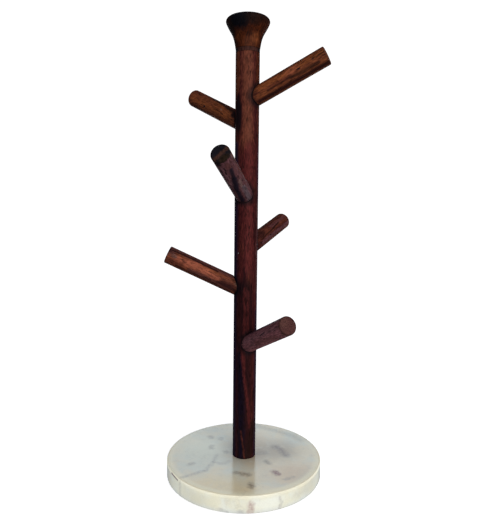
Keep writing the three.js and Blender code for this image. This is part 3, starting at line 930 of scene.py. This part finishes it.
def marble_rims(r, colour, place):
    """A greyer foot, which is painted shade, and a pale band inside the top's rim, which is a painted
    highlight, clearest at the front.
    """
    # Painted shade on the foot
    foot_shade = r.ring(place, BASE_RADIUS, 0.0, width=7.0)
    colour = r.mix(r.times(foot_shade, 0.5), colour, FOOT_SHADE_GREY)
    # A painted highlight inside the top's rim, stronger at the front
    rim_highlight_band = r.ring(place, BASE_RADIUS - 3.0, BASE_TOP, width=6.0)
    to_back = r.vector("DOT_PRODUCT", place, (0, 1, 0))
    rim_highlight = r.times(rim_highlight_band, r.ease(to_back, 50.0, -50.0, 0.2, 0.8))
    return r.mix(rim_highlight, colour, RIM_HIGHLIGHT_CREAM)


def marble_lines(r, colour, place):
    """A faint net of veins, then the larger veins and smudges, and the healed crack."""
    fine = r.wander(place, across=5.0, along=5.0, distance=(3.0, 3.0, 3.0))
    net = r.noise(fine, across=26.0, detail=4.0, roughness=0.6)
    off_line = r.math("ABSOLUTE", r.math("SUBTRACT", net, 0.5))
    strength_here = r.ease(r.noise(place, across=22.0), 0.5, 0.66, 0.0, 0.12)
    colour = r.mix(r.times(r.ease(off_line, 0.02, 0.0), strength_here), colour, VEIN_GREY)
    smudged = r.wander(fine, across=3.2, along=3.2, distance=(3.4, 4.5, 2.0))
    patchy = r.ease(r.noise(place, across=2.0, detail=3.0), 0.3, 0.6, 0.5, 1.0)
    on_top = [([(x, y, TOP_MARK_HEIGHT) for x, y in points], *rest) for points, *rest in TOP_LINES]
    for points, width, tone, strength in on_top + SIDE_LINES:
        share = r.times(r.streak(smudged, points, width), strength)
        colour = r.mix(r.times(share, patchy), colour, tone)
    return r.mix(r.streak(place, MARBLE_CRACK, CRACK_WIDTH), colour, SPOT_PURPLE)


def marble():
    """Polished off-white marble with clouds, spots and veins, its rim a little duller."""
    r = Recipe("polished_marble")
    place = r.place()
    drift = r.wander(place, across=16.0, along=16.0, distance=(6.0, 6.0, 6.0))
    colour = marble_ground(r, place, drift)
    colour = marble_rims(r, colour, place)
    colour = marble_lines(r, colour, place)
    grains = r.noise(place, across=1.0)
    colour = r.shade(colour, r.spread(grains, 0.975, 1.025))
    polish = r.spread(r.noise(place, across=12.0, detail=3.0), 0.12, 0.22)
    matt_rim = r.ring(place, BASE_RADIUS - 0.6, BASE_TOP - 0.5, width=2.8)
    roughness = r.math("ADD", polish, r.times(matt_rim, 0.4))
    height = r.math("ADD", r.noise(place, across=20.0), r.times(grains, 0.02))
    return r.surface(colour, roughness, height, bump=0.04, Specular_IOR_Level=MARBLE_GLOSS)


RUBBER_BLACK = grey(0.012)
RUBBER_BLOOM = grey(0.03)
ZINC_BLUE = (0.52, 0.53, 0.54)
ZINC_YELLOW = (0.66, 0.64, 0.58)
BRASS_BRIGHT = (0.72, 0.52, 0.20)
BRASS_DULL = (0.42, 0.28, 0.11)
BEECH_DARK = (0.50, 0.34, 0.19)
BEECH_PALE = (0.62, 0.46, 0.28)
BEECH_FLECK = (0.33, 0.20, 0.10)
PAPER_DARK = grey(0.72)
PAPER_PALE = grey(0.74)
# The paper's own glow near the object and far off, and the distances where it begins to change and is full
GLOW_NEAR = 0.85
GLOW_FAR = 1.0
GLOW_START = 120.0
GLOW_END = 700.0


def rubber():
    """Moulded black rubber with a faint bloom."""
    r = Recipe("moulded_rubber")
    place = r.place()
    bloom = r.noise(place, across=3.0, detail=4.0, roughness=0.6)
    colour = r.mix(r.ease(bloom, 0.35, 0.7), RUBBER_BLACK, RUBBER_BLOOM)
    pebble = r.noise(place, across=0.25)
    return r.surface(colour, r.spread(bloom, 0.6, 0.8), pebble, bump=0.02)


def zinc():
    """Bright zinc plating with faint drawn lines and a mottled, slightly yellow passivation."""
    r = Recipe("zinc_plated_steel")
    place = r.place()
    mottle = r.noise(place, across=2.2, detail=4.0, roughness=0.6)
    colour = r.mix(r.spread(mottle), ZINC_BLUE, ZINC_YELLOW)
    drawn = r.noise(place, across=0.12, along=3.0)
    return r.surface(colour, r.spread(mottle, 0.28, 0.45), drawn, bump=0.01, Metallic=1.0)


def brass():
    """Machined brass, duller in its hollows."""
    r = Recipe("machined_brass")
    place = r.place()
    tarnish = r.noise(place, across=2.5, detail=4.0, roughness=0.6)
    colour = r.mix(r.ease(tarnish, 0.35, 0.7), BRASS_BRIGHT, BRASS_DULL)
    turned = r.noise(place, across=4.0, along=0.15)
    return r.surface(colour, r.spread(tarnish, 0.3, 0.5), turned, bump=0.01, Metallic=1.0)


def bare_beech():
    """Unfinished pale dowel wood with short flecks."""
    r = Recipe("bare_beech")
    place = r.place()
    fibres = r.noise(place, across=0.4, along=9.0, detail=3.0)
    flecks = r.ease(r.noise(place, across=0.5, along=2.0), 0.62, 0.72)
    colour = r.mix(r.spread(fibres), BEECH_DARK, BEECH_PALE)
    colour = r.mix(r.times(flecks, 0.5), colour, BEECH_FLECK)
    return r.surface(colour, 0.7, fibres, bump=0.03)


def studio_paper():
    """The floor: matt white paper, lit from within away from the object, and clear from below."""
    r = Recipe("studio_paper")
    place = r.place()
    tooth = r.noise(place, across=3.0)
    r.surface(r.mix(r.spread(tooth), PAPER_DARK, PAPER_PALE), 0.9, Specular_IOR_Level=0.0)
    glow = r.ease(r.from_axis(place), GLOW_START, GLOW_END, GLOW_NEAR, GLOW_FAR)
    r.put(r.shader.inputs["Emission Color"], grey(1.0))
    r.put(r.shader.inputs["Emission Strength"], glow)
    below = r.step("NewGeometry").outputs["Backfacing"]
    clear = r.step("BsdfTransparent").outputs[0]
    sides = r.step("MixShader", {0: below, 1: r.shader.outputs[0], 2: clear})
    r.put(r.tree.nodes["Material Output"].inputs["Surface"], sides.outputs[0])
    return r.material


# ---- Camera, light and floor ----

# The camera stands close in front of the object, a little above its middle.
CAMERA_DISTANCE = 483.2
CAMERA_HEIGHT = 257.4
CAMERA_PITCH = 5.695  # degrees down
CAMERA_YAW = 0.48  # degrees towards +X
CAMERA_ROLL = 0.615  # degrees, so that the picture leans clockwise
CAMERA_SENSOR = 36  # across the picture's longer side
CAMERA_LENS = 35.216


def set_camera():
    """Sets the camera up and looks through it."""
    data = bpy.data.cameras.new("camera")
    data.lens = CAMERA_LENS
    data.sensor_width = CAMERA_SENSOR
    camera = bpy.data.objects.new("camera", data)
    bpy.context.scene.collection.objects.link(camera)
    pitch = Matrix.Rotation(math.radians(90 - CAMERA_PITCH), 4, "X")
    yaw = Matrix.Rotation(math.radians(-CAMERA_YAW), 4, "Z")
    roll = Matrix.Rotation(math.radians(CAMERA_ROLL), 4, "Z")
    place = Matrix.Translation(Vector((0, mm(-CAMERA_DISTANCE), mm(CAMERA_HEIGHT))))
    camera.matrix_world = place @ yaw @ pitch @ roll
    bpy.context.scene.camera = camera


# Light colours
KEY_WHITE = (1.0, 0.99, 0.96)
CARD_BLUE = (0.73, 0.90, 1.0)
FILL_WHITE = (0.97, 0.99, 1.0)
BACK_WHITE = (0.92, 0.95, 1.0)
ROOM_LIGHT = (0.15, 0.155, 0.18)  # the room as light and in reflections
ROOM_SEEN = (1.1, 1.1, 1.1)  # the room behind the object

# What the three low fills share: they stand close, a little below the object's middle
FILL = {"elevation": -4, "distance": 0.9, "size": (0.8, 0.3), "colour": FILL_WHITE}


def soft_box(name, azimuth, elevation, distance, size, power, colour):
    """A rectangular area light that faces the object's middle, placed in degrees from the front and above,
    and in metres. Its width and height are in metres, and its power is in watts."""
    data = bpy.data.lights.new(name, "AREA")
    data.shape = "RECTANGLE"
    data.size, data.size_y = size
    data.energy = power
    data.color = colour
    light = bpy.data.objects.new(name, data)
    bpy.context.scene.collection.objects.link(light)
    around_z, up = math.radians(azimuth), math.radians(elevation)
    outwards = Vector((math.sin(around_z) * math.cos(up), -math.cos(around_z) * math.cos(up), math.sin(up)))
    middle = Vector((0, 0, CAD_BOX[1].z / 2))
    light.location = middle + outwards * distance
    light.rotation_euler = (-outwards).to_track_quat("-Z", "Y").to_euler()
    return light


def only_on(light, *objects):
    """Lets a light reach only some objects."""
    reached = bpy.data.collections.new(light.name + "_reaches")
    for obj in objects:
        reached.objects.link(obj)
    light.light_linking.receiver_collection = reached


def set_lamps(stone, wooden):
    """A broad low key from the front right. The stone also gets what a pale table and a bright wall send back
    to it: a card to reflect behind it, and low fills all round. The wood has a back light of its own."""
    soft_box("key", azimuth=20, elevation=12, distance=1.4, size=(1.3, 1.0), power=18.5, colour=KEY_WHITE)
    card = soft_box("card", 180, 27, distance=1.9, size=(2.4, 1.2), power=12.8, colour=CARD_BLUE)
    card.visible_diffuse = False
    left = soft_box("fill_left", azimuth=-72, power=4.2, **FILL)
    right = soft_box("fill_right", azimuth=100, power=4.2, **FILL)
    behind = soft_box("fill_behind", azimuth=190, power=2.6, **FILL)
    behind.visible_glossy = False
    for light in (card, left, right, behind):
        only_on(light, stone)
    back = soft_box("back", 180, 2, distance=1.4, size=(1.4, 0.7), power=13.0, colour=BACK_WHITE)
    only_on(back, *wooden)


def set_room():
    """A dim room, which is white where the camera sees it."""
    world = bpy.data.worlds.new("room")
    bpy.context.scene.world = world
    world.use_nodes = True
    tree = world.node_tree
    path = tree.nodes.new("ShaderNodeLightPath")
    colour = tree.nodes.new("ShaderNodeMix")
    colour.data_type = "RGBA"
    colour.inputs[6].default_value = (*ROOM_LIGHT, 1.0)
    colour.inputs[7].default_value = (*ROOM_SEEN, 1.0)
    tree.links.new(path.outputs["Is Camera Ray"], colour.inputs[0])
    tree.links.new(colour.outputs[2], tree.nodes["Background"].inputs["Color"])


FLOOR_HALF = 4000
FLOOR_CELLS = 8


def set_floor():
    """A plain pale floor that takes shadows but doesn't light the object from below."""
    row = FLOOR_CELLS + 1
    steps = [FLOOR_HALF * (2 * step / FLOOR_CELLS - 1) for step in range(row)]
    verts = [(x, y, 0.0) for y in steps for x in steps]
    corners = [j * row + i for j in range(FLOOR_CELLS) for i in range(FLOOR_CELLS)]
    faces = [(corner, corner + 1, corner + row + 1, corner + row) for corner in corners]
    floor = new_object("studio_floor", verts, faces)
    floor.data.materials.append(studio_paper())
    floor.visible_diffuse = False
    floor.visible_glossy = False


# ---- Assembly ----

UPRIGHT = Matrix()  # the frame of the pieces whose Z is the post's axis
POST_TONES = (RED_BLACK, DEEP_RED, RED_BROWN)
FINIAL_TONES = (BLACK_BROWN, UMBER, FOXY_BROWN)
COLLAR_TONES = (COLLAR_BROWN,) * 3


def build_wood():
    """Post, finial, collar and pegs, each from its own board."""
    post_wood = wood("post_wood", UPRIGHT, POST_BOARD, POST_TONES, POST_MARKS, socket_glue_and_shade)
    finial_wood = wood("finial_wood", UPRIGHT, FINIAL_BOARD, FINIAL_TONES, FINIAL_MARKS)
    collar_wood = wood("collar_wood", UPRIGHT, COLLAR_BOARD, COLLAR_TONES, COLLAR_SIDE_SHADE)
    pieces = [
        finish_piece(tall_post(), post_wood, "stained_wood", "post"),
        finish_piece(flared_finial(), finial_wood, "stained_wood", "finial"),
        finish_piece(dark_collar(), collar_wood, "ebonised_wood", "joint_collar"),
    ]
    for board, name in enumerate(PEG_NAMES, FIRST_PEG_BOARD):
        placing, _ = peg_frame(name)
        peg_wood = wood(name + "_wood", placing, board, PEG_TONES[name], PEG_MARKS[name], peg_glue_shade_and_rim)
        pieces.append(finish_piece(round_peg(name, board), peg_wood, "stained_wood", name))
    return pieces


def build_stone():
    """The marble disc."""
    return finish_piece(marble_base(), marble(), "marble", "base_disc")


def build_feet():
    """The bumpers under the marble."""
    black_rubber = rubber()
    for number in range(1, 5):
        node = f"foot_pad_{number}"
        finish_piece(rubber_bumper(node), black_rubber, "rubber_pad", node)


def finish_hardware():
    """Materials of the CAD pieces that stay as they are."""
    materials = dict.fromkeys(["base_bolt", "flat_washer", "spring_washer"], zinc())
    materials.update(threaded_insert=brass(), finial_dowel=bare_beech())
    for node, material in materials.items():
        mesh = frame["nodes"][node].data
        mesh.materials.clear()
        mesh.materials.append(material)


set_camera()
set_floor()
build_feet()
set_lamps(build_stone(), build_wood())
set_room()
finish_hardware()
bpy.context.scene.view_settings.view_transform = "Standard"
